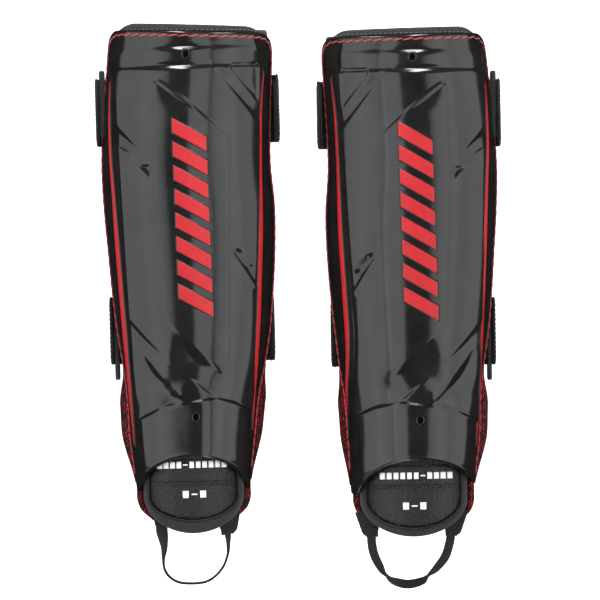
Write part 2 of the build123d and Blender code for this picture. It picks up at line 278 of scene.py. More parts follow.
class Guard:
    """The shape of one guard, and the way from its flat frame to the row frame."""

    def __init__(self, side):
        self.side = side
        self.__dict__.update(VARIANT[side])
        self.sign = 1.0 if side == "right" else -1.0
        hinge = next(j for j in frame["joints"] if j["name"] == side + "_upper_strap_open")
        along_y = np.array(hinge["axis"], float) * -self.sign
        self.axes = np.array([(along_y[1], -along_y[0], 0.0), along_y, (0.0, 0.0, 1.0)])
        strap = STRAPS["upper"]
        middle = sum(strap["along"]) / 2
        hinge_spot = np.array([-strap["lateral"] * self.sign, -middle, HINGE_LEVEL])
        self.origin = np.array(hinge["pos_m"], float) - (hinge_spot * MM) @ self.axes
        self.sections = STATIONS.copy()
        share = np.clip((STATIONS[:, 0] - SPREAD_FROM) / SPREAD_OVER, 0, 1)
        self.sections[:, 1] += self.spread * share
        self.sections[:, 3] += self.foot_shift * share

    def name(self, part):
        """The full name of one of this guard's bodies, CAD nodes or pieces."""
        return self.side + "_" + part

    def world(self, x, s, z):
        """Row-frame metres of points in the flat frame."""
        local = stack(self.sign * np.asarray(x, float), -np.asarray(s, float), z)
        return self.origin + (local * MM) @ self.axes

    def section(self, s):
        """Half width, rise and sideways shift of the section at s."""
        return [curve_through(self.sections[:, 0], self.sections[:, k], s) for k in (1, 2, 3)]

    def surface(self, angle, s, inset=0.0):
        """A point of the guard at an angle from the crest, inset from the plain outer surface."""
        half, rise, shift = self.section(s)
        normal_x = np.sin(angle) / half
        normal_z = np.cos(angle) / rise
        size = np.hypot(normal_x, normal_z)
        x = shift + half * np.sin(angle) - inset * normal_x / size
        return stack(x, s, AXIS_HEIGHT + rise * np.cos(angle) - inset * normal_z / size)

    def skewed(self, angle):
        """How much further along the knee edge lies at an angle from the crest."""
        return self.skew * KNEE_HALF * np.sin(angle)

    def drift(self, x, s):
        """How far this guard's features lie to the medial side of where face_height has them."""
        wider = self.foot_wider * smooth((s - 190.0) / 75.0) * smooth((x - 4.0) / 28.0)
        return wider - self.lean[0] - self.lean[1] * s

    def moulding(self, x, s):
        """How far this guard's moulding stands out of the plain shell, in mm."""
        tilt = self.foot_tilt * x * np.exp(-(x / 17.0) ** 2) * smooth((s - 222.0) / 30.0)
        return face_height(x - self.drift(x, s), s) + tilt

    def on_shell(self, feature_x, s, lift):
        """A point on the moulded face, from the place that its feature has in face_height."""
        feature_x, s = np.broadcast_arrays(np.asarray(feature_x, float), np.asarray(s, float))
        x = feature_x + self.drift(feature_x, s)
        half, _, shift = self.section(s)
        angle = np.arcsin(np.clip((x - shift) / half, -0.999, 0.999))
        return self.surface(angle, s, -self.moulding(x, s) - lift)

    def on_flap(self, x, s, inset):
        """A point of the ankle flap, x from its middle, inset from the border's surface."""
        angle = np.arcsin(np.clip(x / self.flap_half, -1, 1))
        across = self.flap_shift + (self.flap_half - inset) * np.sin(angle)
        return stack(across, s, AXIS_HEIGHT + (FLAP_RISE - inset) * np.cos(angle))


# ---------------------------------------- mesh building

def add(name, data):
    """A new object in the scene."""
    obj = bpy.data.objects.new(name, data)
    bpy.context.scene.collection.objects.link(obj)
    return obj


def flipped(faces):
    return [tuple(reversed(face)) for face in faces]


def piece(guard, name, shape, material, body=None):
    """A mesh object from flat-frame points, faces and perhaps uv, riding on a body if one is given."""
    points, faces, uv = (*shape, None)[:3]
    mesh = bpy.data.meshes.new(guard.name(name))
    mesh.from_pydata(guard.world(*points.T).tolist(), [], flipped(faces) if guard.sign > 0 else faces)
    mesh.update()
    if uv is not None:
        layer = mesh.uv_layers.new(name="mm")
        corners = np.zeros(len(mesh.loops), np.int32)
        mesh.loops.foreach_get("vertex_index", corners)
        layer.data.foreach_set("uv", np.asarray(uv, float)[corners].ravel())
    mesh.polygons.foreach_set("use_smooth", [True] * len(mesh.polygons))
    mesh.materials.append(MATERIAL[material])
    obj = add(guard.name(name), mesh)
    if body:
        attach(obj, guard.name(body))
    return obj


def label(guard, obj, slot, *nodes, fill=None):
    """Hides the CAD nodes that a piece stands for. What it is made of (slot) and how full its padding
    is (fill) are not used.
    """
    if nodes:
        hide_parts(*(guard.name(node) for node in nodes))


def put(guard, name, shape, material, slot, *nodes, body="guard", fill=None):
    """A piece that rides stiffly on one body, with its label."""
    label(guard, piece(guard, name, shape, material, body), slot, *nodes, fill=fill)


def bend(guard, obj, first, second, start, end):
    """Bakes a piece's placement into its mesh; it does not bend. The two bodies and the two places are
    not used.
    """
    start, end = (tuple(guard.world(*place)) for place in (start, end))
    guard.name(first)
    guard.name(second)
    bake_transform(obj)


def grid_faces(rows, columns, start=0, wrap=False):
    faces = []
    last = columns if wrap else columns - 1
    for i in range(rows - 1):
        for j in range(last):
            k = (j + 1) % columns
            faces.append((start + i * columns + j, start + i * columns + k,
                          start + (i + 1) * columns + k, start + (i + 1) * columns + j))
    return faces


def slab_mesh(top, bottom):
    """A closed mesh between two grids of points (rows, columns, 3)."""
    rows, columns, _ = top.shape
    count = rows * columns
    faces = grid_faces(rows, columns) + flipped(grid_faces(rows, columns, count))
    ring = [(0, j) for j in range(columns)] + [(i, columns - 1) for i in range(1, rows)]
    ring += [(rows - 1, j) for j in range(columns - 2, -1, -1)]
    ring += [(i, 0) for i in range(rows - 2, 0, -1)]
    for (i0, j0), (i1, j1) in zip(ring, ring[1:] + ring[:1]):
        a = i0 * columns + j0
        b = i1 * columns + j1
        faces.append((b, a, a + count, b + count))
    return np.concatenate([top.reshape(-1, 3), bottom.reshape(-1, 3)]), faces


def tube_mesh(rings, closed=False):
    """Sections (count, sides, 3) joined into a tube, with flat ends or closed on itself."""
    count, sides, _ = rings.shape
    faces = grid_faces(count, sides, wrap=True)
    last = (count - 1) * sides
    if closed:
        faces += [(last + j, last + (j + 1) % sides, (j + 1) % sides, j) for j in range(sides)]
    else:
        faces += [tuple(reversed(range(sides))), tuple(range(last, last + sides))]
    return rings.reshape(-1, 3), faces


def merge(parts):
    """Several (points, faces) as one."""
    points = []
    faces = []
    start = 0
    for part_points, part_faces in parts:
        points.append(part_points)
        faces += [tuple(i + start for i in face) for face in part_faces]
        start += len(part_points)
    return np.concatenate(points), faces


def ribbon(centre, across, thick, width, round_edge=0.45):
    """A closed flat band along centre (n, 3), its width along across."""
    along = unit(np.gradient(centre, axis=0))
    across = unit(across - along * (across * along).sum(1, keepdims=True))
    normal = np.cross(along, across)
    width = np.broadcast_to(np.asarray(width, float), (len(centre),))[:, None]
    profile = [(-0.5, -round_edge), (-0.46, -1.0), (-0.17, -1.0), (0.17, -1.0), (0.46, -1.0),
               (0.5, -round_edge)]
    profile += [(-p, -q) for p, q in profile]
    rings = np.stack([centre + across * width * p + normal * thick / 2 * q for p, q in profile], axis=1)
    across_mm = width * np.array([p for p, _ in profile])
    return *tube_mesh(rings), stack(run_length(centre)[:, None], across_mm).reshape(-1, 2)


def cord_mesh(path, radius, sides=8, closed=False):
    """A round cord along path (n, 3), radius a number or one for each point."""
    along = unit(np.gradient(path, axis=0))
    side = unit(np.cross(along, np.array([0.13, 0.21, 0.97])))
    up = np.cross(side, along)
    radius = np.broadcast_to(np.asarray(radius, float), (len(path),))[:, None]
    rings = [path + radius * (side * np.cos(t) + up * np.sin(t)) for t in turns(sides)]
    return tube_mesh(np.stack(rings, axis=1), closed)


def dash(start, end, normal, radius, bow):
    """One stitch from start to end, bowed out along normal and pinched at its ends."""
    t = np.linspace(0, 1, 7)[:, None]
    path = start + (end - start) * t + normal * (bow * 4 * t * (1 - t) - radius * 0.35)
    pinch = 0.35 + 0.65 * np.sin(np.pi * np.clip(t[:, 0], 0.06, 0.94)) ** 0.5
    return cord_mesh(path, radius * pinch, 7)


def along_path(points, pitch, gap):
    """Start and end points of the stitches along a dense path."""
    length = run_length(points)
    count = max(1, int(round(length[-1] / pitch)))
    real = length[-1] / count
    return [(at_length(points, length, i * real + gap / 2),
             at_length(points, length, (i + 1) * real - gap / 2)) for i in range(count)]


# ---------------------------------------- materials

class Nodes:
    """A material's node tree, with short calls for what the materials here need."""

    def __init__(self, name, colour, roughness, **sockets):
        self.material = bpy.data.materials.new(name)
        self.material.use_nodes = True
        self.tree = self.material.node_tree
        self.shader = self.tree.nodes["Principled BSDF"]
        self.shader.inputs["Base Color"].default_value = (*colour, 1)
        self.shader.inputs["Roughness"].default_value = roughness
        for socket, value in sockets.items():
            self.shader.inputs[socket.replace("_", " ")].default_value = value

    def node(self, kind, **inputs):
        made = self.tree.nodes.new(kind)
        for key, value in inputs.items():
            key = int(key[1:]) if key[0] == "i" and key[1:].isdigit() else key.replace("_", " ")
            if isinstance(value, bpy.types.NodeSocket):
                self.tree.links.new(value, made.inputs[key])
            else:
                made.inputs[key].default_value = value
        return made

    def math(self, operation, a, b=0.0):
        made = self.node("ShaderNodeMath", i0=a, i1=b)
        made.operation = operation
        return made.outputs[0]

    def object_space(self):
        return self.node("ShaderNodeTexCoord").outputs["Object"]

    def uv(self):
        split = self.node("ShaderNodeSeparateXYZ", i0=self.node("ShaderNodeTexCoord").outputs["UV"])
        return split.outputs[0], split.outputs[1]

    def times(self, a, b):
        return self.math("MULTIPLY", a, b)

    def plus(self, a, b):
        return self.math("ADD", a, b)

    def noise(self, scale, detail=3.0):
        made = self.node("ShaderNodeTexNoise", Vector=self.object_space(), Scale=scale, Detail=detail)
        return made.outputs[0]

    def voronoi(self, scale):
        return self.node("ShaderNodeTexVoronoi", Vector=self.object_space(), Scale=scale).outputs[0]

    def remap(self, value, low, high, to_low=0.0, to_high=1.0):
        made = self.node("ShaderNodeMapRange", Value=value, From_Min=low, From_Max=high,
                         To_Min=to_low, To_Max=to_high)
        return made.outputs[0]

    def mix(self, factor, a, b):
        made = self.node("ShaderNodeMix")
        made.data_type = "RGBA"
        self.tree.links.new(factor, made.inputs[0])
        made.inputs[6].default_value = (*a, 1)
        made.inputs[7].default_value = (*b, 1)
        return made.outputs[2]

    def to(self, socket, value):
        self.tree.links.new(value, self.shader.inputs[socket])

    def tone(self, value, low, high, first, second):
        """Takes the base colour from first to second as value goes from low to high."""
        self.to("Base Color", self.mix(self.remap(value, low, high), first, second))

    def bump(self, height, distance, strength):
        made = self.node("ShaderNodeBump", Height=height, Distance=distance, Strength=strength)
        self.to("Normal", made.outputs[0])

    def wave(self, value, period):
        """A soft 0 to 1 wave of a coordinate in mm."""
        return self.remap(self.math("SINE", self.times(value, 2 * math.pi / period)), -1, 1)


def shell_plastic():
    n = Nodes("gloss_black_plastic", (0.009, 0.0085, 0.008), 0.13, Specular_IOR_Level=0.5)
    n.to("Roughness", n.remap(n.noise(900.0, 4.0), 0.35, 0.75, 0.10, 0.20))
    n.tone(n.noise(60.0), 0.3, 0.7, (0.0075, 0.007, 0.0068), (0.013, 0.0125, 0.012))
    n.bump(n.noise(220.0, 2.0), 0.00006, 0.6)
    return n.material


def red_print():
    n = Nodes("red_print", (0.45, 0.014, 0.018), 0.45, Specular_IOR_Level=0.3)
    n.tone(n.noise(300.0), 0.3, 0.7, (0.43, 0.013, 0.017), (0.48, 0.018, 0.022))
    n.bump(n.noise(500.0, 2.0), 0.00003, 0.6)
    return n.material


def print_outline():
    n = Nodes("print_outline", (0.0025, 0.006, 0.007), 0.35)
    n.to("Roughness", n.remap(n.noise(700.0), 0.3, 0.7, 0.3, 0.45))
    return n.material


def white_print():
    n = Nodes("white_print", (0.8, 0.8, 0.8), 0.5)
    n.tone(n.noise(900.0), 0.4, 0.7, (0.9, 0.9, 0.9), (0.74, 0.74, 0.75))
    n.bump(n.voronoi(800.0), 0.0001, 0.5)
    return n.material


def thread(name, colour):
    n = Nodes(name, colour, 0.6, Sheen_Weight=0.3)
    twist = n.noise(2600.0, 1.0)
    n.tone(twist, 0.35, 0.6, tuple(c * 0.55 for c in colour), colour)
    n.bump(twist, 0.0003, 0.8)
    return n.material


def woven(name, colour, rib=1.15, pick=0.75, depth=0.00035):
    """Elastic webbing: ribs along its length crossed by finer picks."""
    n = Nodes(name, colour, 0.82, Sheen_Weight=0.08, Sheen_Roughness=0.4)
    length, width = n.uv()
    ribs = n.wave(width, rib)
    row = n.math("FLOOR", n.math("DIVIDE", width, rib))
    picks = n.wave(n.plus(length, n.times(row, pick * 0.5)), pick)
    weave = n.times(n.plus(ribs, 0.35), n.plus(picks, 0.4))
    fuzz = n.noise(3000.0, 2.0)
    n.to("Base Color", n.mix(n.times(weave, fuzz), colour, tuple(c * 2.4 + 0.004 for c in colour)))
    n.bump(n.plus(weave, n.times(fuzz, 0.6)), depth, 0.9)
    return n.material


def border_cloth():
    n = Nodes("charcoal_cloth", (0.016, 0.017, 0.02), 0.9, Sheen_Weight=0.12, Sheen_Roughness=0.5)
    fine = n.noise(2400.0)
    shade = n.plus(n.times(fine, 0.6), n.times(n.noise(90.0), 0.5))
    n.tone(shade, 0.35, 0.75, (0.011, 0.0115, 0.0135), (0.022, 0.0225, 0.026))
    n.bump(fine, 0.00025, 0.8)
    return n.material


def pebbled():
    n = Nodes("pebbled_leather", (0.006, 0.0063, 0.0075), 0.42, Specular_IOR_Level=0.45)
    cells = n.voronoi(760.0)
    grain = n.plus(cells, n.times(n.noise(500.0), 0.35))
    n.to("Roughness", n.remap(cells, 0.1, 0.7, 0.24, 0.5))
    n.tone(cells, 0.2, 0.8, (0.0085, 0.009, 0.0105), (0.003, 0.003, 0.0036))
    n.bump(n.times(grain, -1.0), 0.00045, 0.8)
    return n.material


def spacer_mesh():
    """Black net with red spots: staggered ovals in the cloth's own millimetres."""
    n = Nodes("red_black_mesh", (0.3, 0.01, 0.015), 0.7, Specular_IOR_Level=0.25)
    length, width = n.uv()
    cell_w, cell_l = 1.9, 2.7
    column = n.math("DIVIDE", width, cell_w)
    odd = n.math("MODULO", n.math("ABSOLUTE", n.math("FLOOR", column)), 2.0)
    row = n.math("DIVIDE", n.plus(length, n.times(odd, cell_l / 2)), cell_l)
    across, down = (n.math("SUBTRACT", n.math("FRACT", place), 0.5) for place in (column, row))
    wobble = n.times(n.math("SUBTRACT", n.noise(500.0), 0.5), 0.25)
    squares = n.plus(n.math("POWER", n.plus(across, wobble), 2.0), n.math("POWER", down, 2.0))
    dot = n.remap(n.math("SQRT", squares), 0.30, 0.22)
    shade = n.times(dot, n.remap(n.noise(260.0), 0.42, 0.56, 0.08, 1))
    n.to("Base Color", n.mix(shade, (0.0045, 0.004, 0.0042), (0.70, 0.016, 0.024)))
    n.bump(dot, 0.0005, 0.9)
    return n.material


def brushed(name, colour):
    n = Nodes(name, colour, 0.95, Sheen_Weight=0.12, Sheen_Roughness=0.6)
    fibres = n.noise(1700.0, 5.0)
    n.tone(fibres, 0.35, 0.7, colour, tuple(c * 1.9 + 0.004 for c in colour))
    n.bump(fibres, 0.0006, 0.9)
    return n.material


def vent_shade():
    """The dark foam deep in a vent hole, painted much darker still as shade, since hardly any light
    reaches it.
    """
    n = Nodes("vent_shade", (0.0015, 0.0015, 0.0016), 0.95, Specular_IOR_Level=0.05)
    n.bump(n.noise(1800.0), 0.0002, 0.6)
    return n.material


def knit_edge():
    n = Nodes("edge_textile", (0.035, 0.037, 0.04), 0.85, Sheen_Weight=0.1)
    speckle = n.voronoi(1300.0)
    n.tone(speckle, 0.1, 0.6, (0.034, 0.037, 0.041), (0.010, 0.011, 0.0125))
    n.bump(speckle, 0.0004, 0.9)
    return n.material


def hook_tape():
    n = Nodes("hook_tape", (0.014, 0.014, 0.015), 0.5)
    pins = n.voronoi(1500.0)
    n.to("Roughness", n.remap(pins, 0.1, 0.6, 0.35, 0.7))
    n.bump(n.times(pins, -1.0), 0.0007, 1.0)
    return n.material


MATERIAL = {
    "shell": shell_plastic(), "red": red_print(), "outline": print_outline(), "white": white_print(),
    "red_thread": thread("red_thread", (0.60, 0.018, 0.028)),
    "black_thread": thread("black_thread", (0.010, 0.010, 0.011)),
    "pale_thread": thread("pale_thread", (0.20, 0.20, 0.19)),
    "elastic": woven("woven_elastic", (0.005, 0.005, 0.0052)),
    "narrow_elastic": woven("narrow_elastic", (0.006, 0.006, 0.0058), 0.8, 0.6, 0.0002),
    "webbing": woven("webbing", (0.007, 0.0074, 0.008), 1.6, 1.1, 0.0003),
    "border": border_cloth(), "pebbled": pebbled(), "mesh": spacer_mesh(),
    "lining": brushed("brushed_lining", (0.020, 0.020, 0.022)),
    "foam": brushed("liner_cover", (0.014, 0.014, 0.015)),
    "shade": vent_shade(),
    "loop": brushed("loop_cloth", (0.014, 0.014, 0.015)),
    "edge": knit_edge(), "hook": hook_tape(),
}


# ---------------------------------------- shell

def shell_edges(guard, angle):
    """The shell's first and last place along the guard at an angle from the crest."""
    beyond = np.abs(np.degrees(angle)) - SHELL_ROUND_ANGLE
    beyond = np.clip(beyond / (SHELL_LAST_ANGLE - SHELL_ROUND_ANGLE), 0, 1)
    corner = 15.0
    top = SHELL_TOP + corner * (1 - np.sqrt(np.maximum(1 - beyond**2, 0))) + guard.skewed(angle)
    bottom = np.full(np.shape(angle), SHELL_BOTTOM)
    radius = ARCH_RADII[0] + guard.spread
    for _ in range(6):
        reach = np.abs(guard.surface(angle, bottom)[..., 0] - ARCH_CENTRE[0]) / radius
        arch = ARCH_CENTRE[1] - ARCH_RADII[1] * np.sqrt(1 - np.clip(reach, 0, 1) ** 2)
        bottom = np.minimum(arch, SHELL_EAR_END)
    return top, bottom


def make_shell(guard):
    """The moulded shell: a fine outer face, a coarse inner one, and a rim that joins them."""
    across, along, coarse = 209, 377, 8
    vent_radius, vent_aspect, vent_edge, vent_depth = 2.3, 0.8, 0.9, 2.4
    rim_width, rim_drop = 1.4, 0.7
    limit = math.radians(SHELL_LAST_ANGLE)
    angle = np.linspace(-limit, limit, across)[None, :]
    share = np.linspace(0, 1, along)[:, None]
    top, bottom = shell_edges(guard, angle)
    s = top + (bottom - top) * share
    x = guard.surface(angle, s)[..., 0]
    height = guard.moulding(x, s)
    for vent in VENTS:
        away = np.hypot(x - guard.drift(0.0, vent), (s - vent) * vent_aspect)
        height -= vent_depth * smooth((vent_radius - away) / vent_edge)
    rim = np.minimum(np.minimum(s - top, bottom - s), (limit - np.abs(angle)) * 50.0)
    height -= rim_drop * (1 - smooth(rim / rim_width)) ** 2
    height += 0.35 * np.exp(-((bottom - s - 1.6) / 1.1) ** 2) * (np.abs(angle) < 1.2)
    outer = guard.surface(angle, s, -height)
    inner = guard.surface(angle[:, ::coarse], s[::coarse, ::coarse], SHELL_THICK)

    rows, columns = outer.shape[:2]
    inner_rows, inner_columns = inner.shape[:2]
    count = rows * columns
    faces = grid_faces(rows, columns) + flipped(grid_faces(inner_rows, inner_columns, count))

    def join(fine, first, last, flip):
        face = (*fine, count + last, count + first)
        faces.append(face[::-1] if flip else face)

    for j in range(inner_columns - 1):
        fine = range(j * coarse, (j + 1) * coarse + 1)
        low = (inner_rows - 1) * inner_columns + j
        join(fine, j, j + 1, True)
        join([(rows - 1) * columns + k for k in fine], low, low + 1, False)
    for i in range(inner_rows - 1):
        fine = [k * columns for k in range(i * coarse, (i + 1) * coarse + 1)]
        low = i * inner_columns
        join(fine, low, low + inner_columns, False)
        low += inner_columns - 1
        join([k + columns - 1 for k in fine], low, low + inner_columns, True)
    points = np.concatenate([outer.reshape(-1, 3), inner.reshape(-1, 3)])
    put(guard, "moulded_shell", (points, faces), "shell", "shell_plastic", "shell")


def make_vents(guard):
    """A raised lip round each vent hole, and a floor inside it painted near black as shade."""
    lips, floors = [], []
    turn = turns(32)
    for vent in VENTS:
        ring = guard.on_shell(2.25 * np.cos(turn), vent + 2.8 * np.sin(turn), 0.12)
        lips.append(cord_mesh(ring, 0.42, closed=True))
        radius = np.linspace(0.02, 1.9, 4)[:, None]
        disc = guard.on_shell(radius * np.cos(turn), vent + 1.25 * radius * np.sin(turn), 0.1)
        floors.append(slab_mesh(disc, disc - (0.0, 0.0, 0.4)))
    put(guard, "vent_lips", merge(lips), "shell", "shell_plastic")
    # painted shade: the floors are near black for the shade in the holes, darker than the foam itself
    put(guard, "vent_floors", merge(floors), "shade", "foam")


# ---------------------------------------- printed graphics

STRIPES = [
    [(-50.0, 35.6), (-51.0, 59.0), (-51.0, 82.0), (-50.0, 103.0), (-49.0, 124.0), (-47.3, 157.0),
     (-45.5, 189.0), (-43.6, 221.0), (-42.2, 244.0), (-40.6, 272.0)],
    [(50.2, 31.5), (47.9, 54.0), (46.8, 80.0), (46.3, 100.0), (45.9, 124.0), (43.9, 165.6),
     (42.4, 192.0), (40.8, 212.6), (39.2, 231.0), (37.9, 244.0), (36.2, 263.6)],
]
STRIPE_SHARES = (0, 0.1, 0.3, 0.45, 0.7, 0.88, 1)
STRIPE_WIDTHS = (0.3, 1.1, 1.7, 2.5, 2.6, 1.5, 0.3)
MARK_TOP = 60.5
MARK_COUNT = 8
MARK_PITCH = 15.3
MARK_LEAN = 0.012
PRINT_LIFT = 0.16
OUTLINE_LIFT = 0.07
PRINT_DEPTH = 0.3


def print_film(guard, x, s, lift):
    """A thin printed film over the moulded face, from grids of places."""
    if x[0, -1] < x[0, 0]:
        x, s = x[:, ::-1], s[:, ::-1]
    return slab_mesh(guard.on_shell(x, s, lift), guard.on_shell(x, s, lift - PRINT_DEPTH))


def stripe(guard, points, extra):
    """Plan grid of a long side stripe, wider by extra all round."""
    xs, ss = np.array(points).T
    s = np.linspace(ss[0] - extra * 3, ss[-1] + extra * 3, 180)
    x = curve_through(ss, xs, s) - guard.drift(np.zeros_like(s), s)
    width = np.interp((s - ss[0]) / (ss[-1] - ss[0]), STRIPE_SHARES, STRIPE_WIDTHS) + 2 * extra
    across = np.linspace(-0.5, 0.5, 5)
    return x[:, None] + across * width[:, None], np.repeat(s[:, None], 5, axis=1)


def slanted_bar(guard, top, extra):
    """Plan grid of one bar of the mark. The bars fall to the same side on both guards."""
    left, right, drop, tall = -9.8, 11.4, 12.8, 9.4
    u = np.linspace(0, 1, 25)[None, :]
    v = np.linspace(0, 1, 12)[:, None]
    x = left - extra + (right - left + 2 * extra) * u + 0 * v + (top - MARK_TOP) * MARK_LEAN
    return x * guard.sign, top - extra + drop * u + (tall + 2 * extra) * v


def make_prints(guard):
    """Red stripes and bars, each over a wider dark film that shows as its outline."""
    tops = [MARK_TOP + i * MARK_PITCH for i in range(MARK_COUNT)]
    for name, plan, shapes, edge in (("stripe", stripe, STRIPES, 0.75),
                                     ("bar", slanted_bar, tops, 0.8)):
        for ending, material, extra, lift in (("s", "red", 0.0, PRINT_LIFT),
                                              ("_edges", "outline", edge, OUTLINE_LIFT)):
            films = [print_film(guard, *plan(guard, shape, extra), lift) for shape in shapes]
            put(guard, "print_" + name + ending, merge(films), material, "shell_plastic")


# ---------------------------------------- shell stitching

def stitch_route(guard):
    """The red stitch line round the shell's edge, from one ankle side to the other."""
    side_angle, round_angle = 79.5, 57.0
    crest_s, corner_s = 7.4, 21.0
    side = math.radians(side_angle)
    angle = np.linspace(-side, side, 600)
    beyond = np.clip((np.abs(np.degrees(angle)) - round_angle) / (side_angle - round_angle), 0, 1)
    edge = crest_s + (corner_s - crest_s) * (1 - np.sqrt(1 - beyond**2)) + guard.skewed(angle)
    down = np.linspace(SHELL_BOTTOM, corner_s, 500)
    return np.concatenate([stack(-side, down), stack(angle, edge)[1:], stack(side, down[::-1])[1:]]).T


def make_shell_stitches(guard):
    """Slanted red stitches along the shell's edge, with a dark mark at each end as painted shade of the
    needle hole.
    """
    pitch, gap, radius, bow, hole_reach = 6.7, 0.1, 0.47, 0.35, 0.9
    angle, s = stitch_route(guard)
    on = guard.surface(angle, s)
    outward = guard.surface(angle, s, -1.0) - on
    length = run_length(on)
    slant = -0.62 * guard.sign
    stitches, holes = [], []
    for i in range(int(length[-1] / pitch)):
        a, b = i * pitch + gap, (i + 1) * pitch - gap
        start, end = at_length(on, length, a), at_length(on, length, b)
        normal = unit(at_length(outward, length, (a + b) / 2))
        across = unit(np.cross(end - start, normal))
        stitches.append(dash(start + across * slant, end - across * slant, normal, radius, bow))
        # painted shade: a short dark cord across each needle hole stands in for the shade inside it
        hole = at_length(on, length, (i + 1) * pitch) + normal * 0.05
        step = (end - start) * 0.06 + across * hole_reach
        holes.append(cord_mesh(np.array([hole - step, hole, hole + step]), (0.18, 0.42, 0.18), 6))
    put(guard, "edge_stitches", merge(stitches), "red_thread", "edge_textile")
    put(guard, "needle_holes", merge(holes), "black_thread", "edge_textile")


# ---------------------------------------- liner

def liner_ring(guard, s, outset, inset):
    """Closed section of a liner layer at s: down one wing, over the crest and back inside."""
    half, rise, shift = guard.section(s)
    foot = WING_FOOT + 3.0
    turn = np.linspace(-np.pi / 2, np.pi / 2, 61)
    levels = np.linspace(foot, AXIS_HEIGHT, 9)[:-1]
    hem_turn = np.linspace(0, np.pi, 7)[1:-1]
    thick = inset - outset
    middle = half - (outset + inset) / 2

    def arch(depth):
        crest = stack((half - depth) * np.sin(turn), AXIS_HEIGHT + (rise - depth) * np.cos(turn))
        return np.concatenate([stack(depth - half, levels), crest, stack(half - depth, levels[::-1])])

    def hem(side):
        return stack(side * middle + thick / 2 * np.cos(hem_turn),
                     foot - 0.5 * thick * np.sin(hem_turn))

    ring = np.concatenate([arch(outset), hem(1), arch(inset)[::-1], hem(-1)])
    return stack(ring[:, 0] + shift, s, ring[:, 1])


def quilt(rings):
    """Sewn channels: presses blocks of the lining's inner face inwards."""
    inner_side = slice(82, 159)
    block, puff_height = 45.0, 1.3
    x, s, z = (rings[:, :, k] for k in range(3))
    outward = unit((rings - stack(x.mean(1, keepdims=True), s, AXIS_HEIGHT + 4.0)) * (1, 0, 1))
    across = np.abs(np.sin(np.arctan2(x, z - AXIS_HEIGHT) * 4.0))
    down = np.abs(np.sin(np.pi * (s - 4.0) / block))
    puff = np.minimum(smooth(across / 0.35), smooth(down / 0.25)) * puff_height
    rings[:, inner_side] -= (outward * puff[:, :, None])[:, inner_side]


def make_liner(guard):
    """The foam's cover and the lining, pinched together at both ends."""
    rows = np.concatenate([[4.3, 4.6, 5.4], np.linspace(7.0, 271.0, 90), [272.8, 273.6, 274.0]])
    closing = (0.9, 0.45, 0.12)
    for name, outset, inset, material, node, slot in (
            ("liner_cover", 3.5, 9.1, "foam", "foam_pad", "foam"),
            ("inner_lining", 9.2, 10.6, "lining", "lining", "lining_fabric")):
        rings = []
        for i, s in enumerate(rows):
            edge = min(i, len(rows) - 1 - i)
            pinch = closing[edge] * (inset - outset) / 4 if edge < len(closing) else 0.0
            rings.append(liner_ring(guard, s, outset + pinch, inset - pinch))
        rings = np.array(rings)
        if node == "lining":
            quilt(rings)
        put(guard, name, tube_mesh(rings), material, slot, node, fill=0.7)


# Section of the knee edge strip: distance from the edge, inset
KNEE_STRIP = [(0.0, 4.2), (0.35, 2.6), (1.2, 1.9), (3.2, 1.8), (5.6, 2.5),
              (5.6, 9.4), (3.2, 10.6), (1.2, 10.4), (0.35, 9.2), (0.0, 6.8)]


def knee_place(guard, angle, offset):
    """How far along the guard the strip lies at an angle, from its distance to the edge."""
    fall = 9.0 * smooth((np.abs(np.degrees(angle)) - 46.0) / 36.0)
    return offset + (fall + guard.skewed(angle)) * (1 - offset / 9.0)


def make_top_binding(guard):
    """The woven strip along the knee edge, with its row of pale stitches."""
    angle = np.radians(np.linspace(-90, 90, 121))
    rings = np.stack([guard.surface(angle, knee_place(guard, angle, offset), inset)
                      for offset, inset in KNEE_STRIP], axis=1)
    levels = np.linspace(WING_FOOT + 2.0, AXIS_HEIGHT, 8)[:-1]
    left = np.repeat(rings[:1], len(levels), axis=0)
    right = np.repeat(rings[-1:], len(levels), axis=0)
    left[:, :, 2] = levels[:, None]
    right[:, :, 2] = levels[::-1, None]
    strip = tube_mesh(np.concatenate([left, rings, right]))
    put(guard, "knee_edge_strip", strip, "edge", "edge_textile", "top_binding")

    row, pitch, gap = 3.3, 3.3, 1.3
    angle = np.radians(np.linspace(-57, 57, 300))
    place = knee_place(guard, angle, row)
    line = guard.surface(angle, place, 1.9)
    outward = guard.surface(angle, place, 0.9) - line
    outward = unit(outward[len(outward) // 2])
    stitches = [dash(a, b, outward, 0.24, 0.12) for a, b in along_path(line, pitch, gap)]
    put(guard, "knee_edge_stitches", merge(stitches), "pale_thread", "edge_textile")


def make_side_mesh(guard):
    """Padded mesh that swells out below the shell's edge towards the ankle."""
    start, level, half_tall, sides = 221.0, 24.0, 13.5, 28
    rows = np.linspace(start, 296.0, 60)
    turn = turns(sides)
    for name, side, most in (("lateral", -1, 4.6), ("medial", 1, 4.2)):
        rings = []
        for s in rows:
            half, _, shift = guard.section(s)
            swell = most * smooth((s - start) / 24.0) * smooth((299.0 - s) / 38.0)
            depth = 1.2 + (swell + 3.0) * np.maximum(np.cos(turn), 0) ** 0.7
            depth -= 2.4 * np.maximum(-np.cos(turn), 0)
            closing = smooth((s - start) / 10.0) * smooth((298.0 - s) / 10.0)
            tall = half_tall * (0.35 + 0.65 * closing)
            rings.append(stack(shift + side * (half - 4.0 + depth), s, level + tall * np.sin(turn)))
        rings = np.array(rings)
        uv = stack(rows[:, None], run_length(rings[30])).reshape(-1, 2)
        put(guard, name + "_side_mesh", (*tube_mesh(rings), uv), "mesh",
            "spacer_mesh", "side_mesh_" + name, fill=0.8)


# ---------------------------------------- straps

